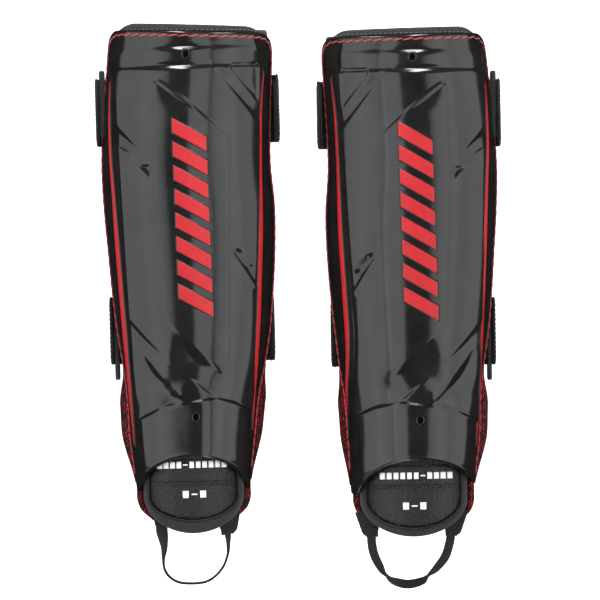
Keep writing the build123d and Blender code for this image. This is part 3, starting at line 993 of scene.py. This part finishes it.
def strap_path(strap):
    """The strap's line round the calf, from the medial end to the lateral end, in x and z."""
    half_thick = STRAP_THICK / 2
    left = -(strap["lateral"] - half_thick)
    right = strap["medial"] - half_thick
    radius = STRAP_CORNER - half_thick
    low = half_thick + radius
    corner = np.linspace(0, np.pi / 2, 13)
    medial = [(right, z) for z in np.linspace(strap["medial_top"], low, 12)[:-1]]
    medial += [(right - radius + radius * math.cos(b), low - radius * math.sin(b)) for b in corner]
    floor = [(x, half_thick) for x in np.linspace(right - radius, left + radius, 30)[1:-1]]
    lateral = [(left + radius - radius * math.sin(b), low - radius * math.cos(b)) for b in corner]
    lateral += [(left, z) for z in np.linspace(low, strap["lateral_top"], 12)[1:]]
    return np.array(medial + floor + lateral)


def patch_mesh(x, along, levels, bevel):
    """A flat patch standing on edge: thin in x, with soft edges. Points, faces and uv."""
    s, z = np.meshgrid(np.linspace(*along, 36), np.linspace(*levels, 18), indexing="ij")
    edge = np.minimum(np.minimum(s - along[0], along[1] - s), np.minimum(z - levels[0], levels[1] - z))
    inward = bevel * (1 - smooth(edge / (2.2 * bevel)))
    points, faces = slab_mesh(stack(x[1] - inward, s, z), stack(x[0] + inward, s, z))
    return points, faces, points[:, 1:]


def box_stitch(x, along, levels, outward):
    """A sewn box with a cross, on a patch at x."""
    corners = [np.array([x, along[i], levels[j]]) for i, j in ((0, 0), (1, 0), (1, 1), (0, 1))]
    stitches = []
    for i, j in ((0, 1), (1, 2), (2, 3), (3, 0), (0, 2), (1, 3)):
        line = corners[i] + (corners[j] - corners[i]) * np.linspace(0, 1, 40)[:, None]
        stitches += [dash(p, q, np.array([outward, 0.0, 0.0]), 0.22, 0.12)
                     for p, q in along_path(line, 3.0, 0.9)]
    return merge(stitches)


def make_straps(guard):
    """Both calf straps with their anchors, hook tapes, loop patches and sewing."""
    for level, strap in STRAPS.items():
        flap = level + "_strap_flap"
        near, far = strap["along"]
        middle = (near + far) / 2
        lateral, medial = -strap["lateral"], strap["medial"]
        sewn_along = (near + 4, far - 4)

        path = strap_path(strap)
        centre = stack(path[:, 0], middle, path[:, 1])
        band = ribbon(centre, (0.0, 1.0, 0.0), STRAP_THICK, far - near)
        obj = piece(guard, level + "_elastic", band, "elastic")
        start, end = (lateral + 9.0, middle, 2.0), (lateral, middle, HINGE_LEVEL + 5.0)
        bend(guard, obj, "guard", flap, start, end)
        label(guard, obj, "elastic", level + "_strap", level + "_strap_end")

        hook_x = lateral + STRAP_THICK
        low, high = strap["patch_levels"][0] + 2.0, strap["lateral_top"] - 2.0
        hook = patch_mesh((hook_x - 0.1, hook_x + 0.5), (near + 2, far - 2), (low, high), 0.15)
        put(guard, level + "_hook", hook, "hook", "hook_tape", level + "_hook_tab", body=flap)
        sewn = box_stitch(lateral - 0.05, sewn_along, (low + 2.5, high - 1.5), -1.0)
        put(guard, level + "_hook_stitches", sewn, "black_thread", "elastic", body=flap)

        loop_x = hook_x + 0.85
        loop = patch_mesh((loop_x, loop_x + strap["patch_thick"]), strap["patch"],
                          strap["patch_levels"], 0.5)
        put(guard, level + "_loop_cloth", loop, "loop", "loop_fabric", level + "_loop_patch")

        anchor_x = medial - STRAP_THICK
        low, high = strap["anchor_levels"]
        anchor = patch_mesh((anchor_x - strap["anchor_thick"], anchor_x - 0.05),
                            (near + 4.0, far + 0.5), (low, high), 0.35)
        put(guard, level + "_anchor", anchor, "webbing", "webbing", level + "_strap_anchor")
        sewn = box_stitch(medial + 0.05, sewn_along, (low + 3.0, high - 2.0), 1.0)
        put(guard, level + "_anchor_stitches", sewn, "black_thread", "webbing")


# ---------------------------------------- ankle flap

def bend_flap(guard, obj):
    """Passes a piece of flap cloth, with places under the shell's arch and beyond it, to bend, which
    only bakes its placement into its mesh.
    """
    start, end = ((guard.flap_shift, s, 55.0) for s in (275.0, 287.0))
    bend(guard, obj, "guard", "ankle_flap", start, end)


def flap_panel(half, end, angle, rows):
    """Plan grid of a flap panel, as x from its middle and s, out to an angle on both sides."""
    x = half * np.sin(np.radians(np.linspace(-angle, angle, rows[0])))[None, :]
    reach = FLAP_ROUND + (end - FLAP_ROUND) * np.sqrt(np.clip(1 - (x / half) ** 2, 0, 1))
    return x, FLAP_FROM + (reach - FLAP_FROM) * np.linspace(0, 1, rows[1])[:, None]


def apply_modifier(obj, kind, **settings):
    modifier = obj.modifiers.new(kind.lower(), kind)
    for key, value in settings.items():
        setattr(modifier, key, value)
    bpy.ops.object.modifier_apply(modifier=modifier.name)


def inflate(obj, voxel, pressure, most):
    """Puffs a closed padded mesh by cloth simulation, by no more than most, and applies it."""
    bpy.context.view_layer.objects.active = obj
    apply_modifier(obj, "REMESH", mode="VOXEL", voxel_size=voxel)
    rest = np.array([v.co for v in obj.data.vertices])
    cloth = obj.modifiers.new("cloth", "CLOTH")
    cloth.settings.use_pressure = True
    cloth.settings.uniform_pressure_force = pressure
    cloth.settings.effector_weights.gravity = 0
    cloth.settings.mass = 0.15
    cloth.settings.tension_stiffness = 25
    cloth.settings.compression_stiffness = 25
    cloth.settings.bending_stiffness = 2
    scene = bpy.context.scene
    for number in range(1, 21):
        scene.frame_set(number)
    puffed = obj.evaluated_get(bpy.context.evaluated_depsgraph_get())
    moved = np.array([v.co for v in puffed.to_mesh().vertices]) - rest
    puffed.to_mesh_clear()
    obj.modifiers.remove(cloth)
    scene.frame_set(1)
    size = np.linalg.norm(moved, axis=1, keepdims=True)
    moved *= np.minimum(1.0, most / np.maximum(size, 1e-9))
    obj.data.vertices.foreach_set("co", (rest + moved).ravel())
    obj.data.update()
    apply_modifier(obj, "SMOOTH", iterations=8)
    apply_modifier(obj, "SUBSURF", levels=1)
    obj.data.polygons.foreach_set("use_smooth", [True] * len(obj.data.polygons))


def press_seams(guard, obj):
    """The cross seams, pressed in after the cloth has settled."""
    world = np.zeros(len(obj.data.vertices) * 3)
    obj.data.vertices.foreach_get("co", world)
    local = ((world.reshape(-1, 3) - guard.origin) @ guard.axes.T) / MM
    up = np.clip((local[:, 2] - AXIS_HEIGHT - 8.0) / 6.0, 0, 1)
    for seam in FLAP_SEAMS:
        local[:, 2] -= 0.75 * np.exp(-((-local[:, 1] - seam) / 1.1) ** 2) * up
    obj.data.vertices.foreach_set("co", (guard.origin + (local * MM) @ guard.axes).ravel())
    obj.data.update()


def make_ankle_pad(guard):
    """The padded cushion with its pebbled cover."""
    cover_inset, back_inset, wider = 0.3, 5.6, 0.1
    x, s = flap_panel(guard.pad_half + wider, guard.pad_end + wider, 88, (61, 60))
    cushion = slab_mesh(guard.on_flap(x, s, cover_inset), guard.on_flap(x, s, back_inset))
    obj = piece(guard, "ankle_cushion", cushion, "pebbled")
    inflate(obj, voxel=1.7 * MM, pressure=4.0, most=1.1 * MM)
    press_seams(guard, obj)
    bend_flap(guard, obj)
    label(guard, obj, "pebbled_cover", "ankle_pad", fill=0.7)


def band_plan(half, end, count=160):
    """The U of a flap panel's outline from one top corner round the foot end to the other."""
    turn = np.linspace(0, np.pi, count)
    oval = stack(-half * np.cos(turn), FLAP_ROUND + (end - FLAP_ROUND) * np.sin(turn))
    side = np.linspace(FLAP_FROM, FLAP_ROUND, 25)[:-1]
    return np.concatenate([stack(-half, side), oval, stack(half, side[::-1])])


# Section of the border: share of the way out from the cushion, inset
BORDER = [(0.0, 1.6), (0.05, 0.7), (0.16, 0.15), (0.35, 0.0), (0.6, 0.1), (0.82, 0.5), (0.95, 1.3),
          (1.0, 2.6), (0.97, 4.2), (0.8, 5.0), (0.3, 5.3), (-0.25, 5.2), (-0.25, 4.7)]


def make_ankle_border(guard):
    """The cloth border round the cushion, the piping between them, and the black stitches."""
    inner = band_plan(guard.pad_half - 0.3, guard.pad_end - 0.3)
    outer = band_plan(guard.flap_half, BORDER_END)
    rings = [guard.on_flap(*(inner + (outer - inner) * share).T, inset) for share, inset in BORDER]
    obj = piece(guard, "ankle_border", tube_mesh(np.stack(rings, axis=1)), "border")
    bend_flap(guard, obj)
    label(guard, obj, "border_fabric", "ankle_binding", fill=0.5)

    line = guard.on_flap(*band_plan(guard.pad_half - 0.1, guard.pad_end - 0.1).T, 0.1)
    obj = piece(guard, "ankle_piping", cord_mesh(line, 0.7), "pebbled")
    bend_flap(guard, obj)

    sewn = band_plan(guard.pad_half + 2.4, guard.pad_end + 2.2, 200)
    line = guard.on_flap(*sewn.T, 0.15)
    outward = guard.on_flap(*sewn.T, -0.85) - line
    stitches = []
    for start, end in along_path(line, 3.1, 0.9):
        nearest = np.argmin(np.linalg.norm(line - (start + end) / 2, axis=1))
        stitches.append(dash(start, end, unit(outward[nearest]), 0.26, 0.1))
    for seam, short in zip(FLAP_SEAMS, (3.0, 7.0)):
        reach = guard.pad_half - short
        x = np.linspace(-reach, reach, 80)
        line = guard.on_flap(x, seam + 0.6 * (x / reach), -0.1)
        stitches += [dash(start, end, np.array([0.0, 0.0, 1.0]), 0.26, 0.12)
                     for start, end in along_path(line, 2.7, 0.7)]
    obj = piece(guard, "flap_stitches", merge(stitches), "black_thread")
    bend_flap(guard, obj)


def make_ankle_backing(guard):
    """Mesh behind the flap: a thin sheet, and a padded roll on each side beside the border."""
    front_inset, back_inset = 7.6, 8.6
    x, s = flap_panel(guard.flap_half - 6.0, BORDER_END - 5.0, 85, (41, 30))
    parts = [slab_mesh(guard.on_flap(x, s, front_inset), guard.on_flap(x, s, back_inset))]
    uvs = [stack(s, x).reshape(-1, 2)] * 2
    roll_end, sides = 321.0, 16
    s = np.linspace(279.0, roll_end, 40)
    out = guard.flap_half + 0.2 - 9.5 * np.clip((s - FLAP_ROUND) / 17.0, 0, 1) ** 2
    swell = 0.4 + 0.6 * smooth((roll_end - s) / 8.0)
    for side in (-1, 1):
        rings = [stack(guard.flap_shift + side * (out + 2.9 * swell * math.cos(t)), s,
                       AXIS_HEIGHT - 1.0 + 5.0 * swell * math.sin(t)) for t in turns(sides)]
        parts.append(tube_mesh(np.stack(rings, axis=1)))
        uvs.append(stack(s[:, None], np.linspace(0, 24.0, sides)).reshape(-1, 2))
    obj = piece(guard, "ankle_backing", (*merge(parts), np.concatenate(uvs)), "mesh")
    bend_flap(guard, obj)
    label(guard, obj, "spacer_mesh", "ankle_lining", fill=0.4)


def make_size_marks(guard):
    """Plain white blocks, one of each row only a dash, where a maker would print side and size."""
    lift, root, dash_tall = 1.05, 0.6, 0.9
    upper, lower, shift, pitch = guard.marks
    blocks = []
    for middle, tall, wide, dashed, centres in (
            (upper, 4.3, 2.9, 4, [(n - 5.3) * pitch for n in range(11)]),
            (lower, 4.6, 3.7, 1, (-5.5, 0.0, 5.5))):
        for number, centre in enumerate(centres):
            height = dash_tall if number == dashed else tall
            x = centre + shift + np.linspace(-wide / 2, wide / 2, 5)[None, :]
            s = middle + np.linspace(-height / 2, height / 2, 4)[:, None]
            blocks.append(slab_mesh(guard.on_flap(x, s, -lift), guard.on_flap(x, s, root)))
    put(guard, "flap_blocks", merge(blocks), "white", "pebbled_cover", body="ankle_flap")


# ---------------------------------------- stirrup

# x, s, z of the loop's middle line, and its width's direction as degrees up from flat
STIRRUP_ROUTE = {
    "right": [
        (-24.4, 322.0, 37.0, 0), (-24.5, 327.0, 35.6, 0), (-24.0, 333.0, 31.0, 35),
        (-23.8, 339.0, 25.0, 62), (-24.3, 346.0, 18.5, 84), (-23.6, 353.0, 12.5, 90),
        (-20.2, 358.6, 8.0, 90), (-14.0, 362.3, 5.2, 90), (-4.8, 363.2, 4.4, 90),
        (3.3, 362.2, 4.6, 90), (9.6, 358.4, 6.4, 90), (14.8, 352.2, 10.4, 90),
        (17.8, 344.4, 17.0, 88), (18.6, 337.4, 24.0, 80), (18.6, 330.0, 31.0, 60),
        (18.2, 325.0, 36.0, 12), (18.0, 321.0, 37.5, 0),
    ],
    "left": [
        (-23.4, 323.0, 37.0, 0), (-23.4, 329.0, 34.0, 0), (-22.2, 336.0, 27.0, 6),
        (-19.4, 344.0, 19.0, 14), (-13.6, 351.6, 11.5, 45), (-9.0, 356.0, 7.5, 84),
        (-5.0, 359.4, 4.6, 135), (4.4, 361.6, 1.6, 178), (13.0, 359.6, 3.6, 215),
        (18.0, 355.8, 7.4, 262), (22.0, 350.8, 12.0, 315), (26.0, 343.0, 20.0, 345),
        (27.8, 336.0, 27.6, 354), (28.2, 329.0, 34.0, 360), (27.6, 323.0, 37.0, 360),
    ],
}


def make_stirrup(guard):
    """The elastic loop that hangs from the tabs; bend only bakes its placement into its mesh."""
    points = np.array(STIRRUP_ROUTE[guard.side])
    at = np.linspace(0, len(points) - 1, 140)
    route = np.stack([curve_through(range(len(points)), column, at) for column in points.T], 1)
    centre = route[:, :3]
    along = unit(np.gradient(centre, axis=0))
    flat = unit(np.cross(along, (0.0, 0.0, 1.0)))
    turn = np.radians(route[:, 3])[:, None]
    across = flat * np.cos(turn) + np.cross(flat, along) * np.sin(turn)
    thick, lowest = 1.5, 0.15
    points, faces, uv = ribbon(centre, across, thick, guard.stirrup_width)
    points[:, 2] = np.maximum(points[:, 2], lowest)
    obj = piece(guard, "stirrup_elastic", (points, faces, uv), "narrow_elastic")
    start, end = ((sum(guard.tabs) / 2, s, 33.5) for s in (327.5, 336.0))
    bend(guard, obj, "ankle_flap", "stirrup_loop", start, end)
    label(guard, obj, "elastic", "stirrup")


def make_tabs(guard):
    """Folded webbing sewn behind the border, which holds the stirrup's ends."""
    root, top, tuck, thick, taper = 312.0, 37.4, 13.0, 1.2, 4.0
    t = np.linspace(0, 1, 44)
    over = smooth(2 * t)
    back = np.clip(2 * t - 1, 0, 1)
    for name, x, (reach, lean, turn, wide) in zip(("lateral", "medial"), guard.tabs, guard.tab_ends):
        down = (reach - root) * over - tuck * smooth(back)
        z = top - 1.6 * over - 2.8 * smooth(back * 5)
        centre = stack(x - math.sin(lean) * (down - reach + root), root + down, z)
        width = wide - taper * smooth((down - reach + root + 5.0) / 5.0) ** 2
        tab = ribbon(centre, (math.cos(turn), math.sin(turn), 0.0), thick, width)
        put(guard, name + "_webbing_tab", tab, "webbing", "webbing", "stirrup_tab_" + name,
            body="ankle_flap")


for side in VARIANT:
    guard = Guard(side)
    for make in (make_shell, make_vents, make_prints, make_shell_stitches, make_liner,
                 make_top_binding, make_side_mesh, make_straps, make_ankle_pad, make_ankle_border,
                 make_ankle_backing, make_size_marks, make_stirrup, make_tabs):
        make(guard)


# ---------------------------------------- floor, light, camera

def make_floor():
    """White paper, bright to the camera and dark to what the gloss shell mirrors."""
    reach = 3.0
    mesh = bpy.data.meshes.new("floor")
    corners = [(-reach, -reach, 0), (reach, -reach, 0), (reach, reach, 0), (-reach, reach, 0)]
    mesh.from_pydata(corners, [], [(0, 1, 2, 3)])
    floor = add("floor", mesh)
    floor.location.z = -0.0002  # clear of the straps that rest on it
    n = Nodes("floor", (0.75, 0.75, 0.75), 0.9, Specular_IOR_Level=0.1, Emission_Color=(1, 1, 1, 1))
    dark = n.node("ShaderNodeBsdfDiffuse", Color=(0.012, 0.012, 0.012, 1))
    ray = n.node("ShaderNodeLightPath").outputs
    n.to("Emission Strength", ray["Is Camera Ray"])
    mixed = n.node("ShaderNodeMixShader", i0=ray["Is Glossy Ray"], i1=n.shader.outputs[0],
                   i2=dark.outputs[0])
    n.tree.links.new(mixed.outputs[0], n.tree.nodes["Material Output"].inputs["Surface"])
    mesh.materials.append(n.material)


def area_light(name, wide, tall, radiance):
    light = bpy.data.lights.new(name, "AREA")
    light.shape = "RECTANGLE"
    light.size = wide
    light.size_y = tall
    light.energy = radiance * math.pi * wide * tall
    obj = add(name, light)
    obj.visible_camera = False
    return obj


def light_panel(name, low, high, length, radiance, colour):
    """A long panel beside or above the guards, between two places (x, z)."""
    low, high = (Vector((x, 0, z)) for x, z in (low, high))
    middle = (low + high) / 2
    obj = area_light(name, (high - low).length, length, radiance)
    obj.data.color = colour
    width = (high - low).normalized()
    along = Vector((0, 1, 0))
    facing = width.cross(along)
    if facing.dot(-middle) < 0:
        along = -along
        facing = -facing
    turned = Matrix((width, -along, -facing)).transposed().to_4x4()
    obj.matrix_world = Matrix.Translation(middle) @ turned


WALL_LEVELS = (-0.05, 0.2, 0.45, 0.7, 0.95, 1.2, 1.45, 1.7, 1.95, 2.2)
WALL_LENGTH = 1.2
COOL_STRIPS = 4


def light_wall(name, x, radiances):
    """Strips of light one above another, so that their long reflection is shaded across."""
    for i, radiance in enumerate(radiances):
        cool = max(0.0, (i - len(radiances) + COOL_STRIPS) / COOL_STRIPS)
        colour = (1.0 - 0.22 * cool, 1.0 - 0.07 * cool, 1.0)
        ends = (x, WALL_LEVELS[i]), (x, WALL_LEVELS[i + 1])
        light_panel(f"{name}_{i}", *ends, WALL_LENGTH, radiance, colour)


def glint(name, middle, wide, tall, radiance):
    """An upright panel beyond one end, for the sparks in the creases and along the arch."""
    obj = area_light(name, wide, tall, radiance)
    obj.location = middle
    obj.rotation_euler = Vector((0, -middle[1], 0)).to_track_quat("-Z", "Z").to_euler()


def make_world():
    """Bright to everything but the gloss shell's reflections."""
    world = bpy.data.worlds.new("world")
    world.use_nodes = True
    tree = world.node_tree
    back = tree.nodes["Background"]
    back.inputs["Color"].default_value = (1, 1, 1, 1)
    ray = tree.nodes.new("ShaderNodeLightPath")
    strength = tree.nodes.new("ShaderNodeMapRange")
    strength.inputs["To Min"].default_value = 0.45
    strength.inputs["To Max"].default_value = 0.06
    tree.links.new(ray.outputs["Is Glossy Ray"], strength.inputs["Value"])
    tree.links.new(strength.outputs[0], back.inputs["Strength"])
    bpy.context.scene.world = world


def make_camera():
    """Straight down from far away; span is the width in view at the level given."""
    height, level, span = 8.0, 0.034, 0.390
    camera = bpy.data.cameras.new("camera")
    camera.sensor_width = 36.0
    camera.lens = camera.sensor_width * (height - level) / span
    camera.clip_end = 20.0
    obj = add("camera", camera)
    obj.location = (0.0014, 0.0042, height)
    bpy.context.scene.camera = obj


make_floor()
light_wall("left_wall", -0.95, (1.6, 1.7, 1.85, 2.1, 2.0, 1.9, 1.8, 1.5, 0.9))
light_wall("right_wall", 0.95, (1.7, 1.8, 1.7, 2.1, 2.2, 2.0, 1.9, 1.7, 1.2))
light_panel("middle_strip", (-0.062, 0.30), (0.040, 0.30), 0.5, 2.0, (0.93, 0.98, 1.0))
glint("right_knee_glint", (-0.133, 0.45, 0.23), 0.05, 0.3, 24.0)
glint("left_knee_glint", (0.133, 0.45, 0.23), 0.05, 0.3, 24.0)
glint("foot_glint", (0, -1.2, 0.62), 0.24, 1.0, 5.0)
make_world()
make_camera()
bpy.context.scene.view_settings.view_transform = "Standard"
